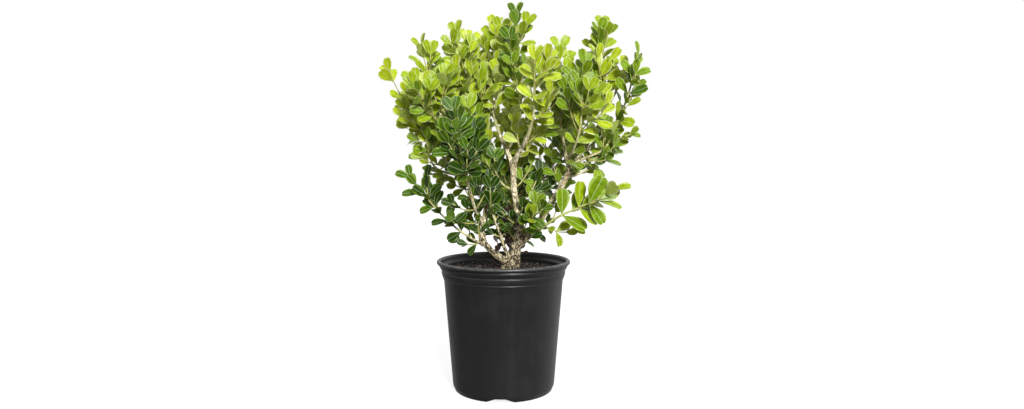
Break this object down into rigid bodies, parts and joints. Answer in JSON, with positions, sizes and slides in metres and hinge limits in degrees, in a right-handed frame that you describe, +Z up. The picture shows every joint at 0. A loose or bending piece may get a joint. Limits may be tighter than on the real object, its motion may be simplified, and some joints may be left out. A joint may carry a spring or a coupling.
{
  "type": "potted young boxwood shrub",
  "caption": "Young open, vase-shaped boxwood shrub in a round black nursery pot, with a forked trunk, tapering boughs and separate leafy masses.",
  "frame": {"origin": "centre of the pot's flat underside, on the surface it stands on", "axes": "+Z up, +X to the right of the shrub's widest side as it is faced, +Y away from whoever faces it"},
  "size_m": [0.3451, 0.219, 0.4936],
  "materials": {
    "pot": "satin",
    "soil": "matte",
    "bark": "matte",
    "foliage": "satin"
  },
  "bodies": {
    "root": {"pot": "pot", "soil": "soil", "trunk": "bark", "bough_right": "bark", "bough_left": "bark", "bough_back": "bark", "bough_centre_right": "bark", "bough_centre_left": "bark", "bough_left_rise": "bark", "bough_left_upper": "bark", "bough_left_inner": "bark", "bough_right_outer": "bark", "bough_right_inner": "bark", "bough_back_left": "bark", "bough_back_right": "bark", "bough_back_top": "bark", "branch_top": "bark", "branch_front_left": "bark", "branch_upper_left": "bark", "branch_side_left": "bark", "branch_low_left": "bark", "branch_inner_left": "bark", "branch_far_right": "bark", "branch_side_right": "bark", "branch_low_right": "bark", "branch_front_right": "bark", "branch_back_far_left": "bark", "branch_back_far_right": "bark", "branch_back_low": "bark", "branch_outer_right": "bark", "branch_low_inner": "bark", "foliage_top": "foliage", "foliage_top_back": "foliage", "foliage_top_left": "foliage", "foliage_front_centre": "foliage", "foliage_front_left": "foliage", "foliage_inner_left": "foliage", "foliage_upper_left": "foliage", "foliage_far_left": "foliage", "foliage_side_left": "foliage", "foliage_low_left": "foliage", "foliage_right_inner": "foliage", "foliage_top_right": "foliage", "foliage_far_right": "foliage", "foliage_side_right": "foliage", "foliage_low_right": "foliage", "foliage_front_right": "foliage", "foliage_trunk": "foliage", "foliage_back_left": "foliage", "foliage_back_right": "foliage", "foliage_back_top": "foliage", "foliage_back_far_left": "foliage", "foliage_back_far_right": "foliage", "foliage_back_low": "foliage", "foliage_trunk_left": "foliage", "foliage_outer_right": "foliage", "foliage_low_inner": "foliage", "foliage_trunk_right": "foliage"}
  },
  "joints": []
}
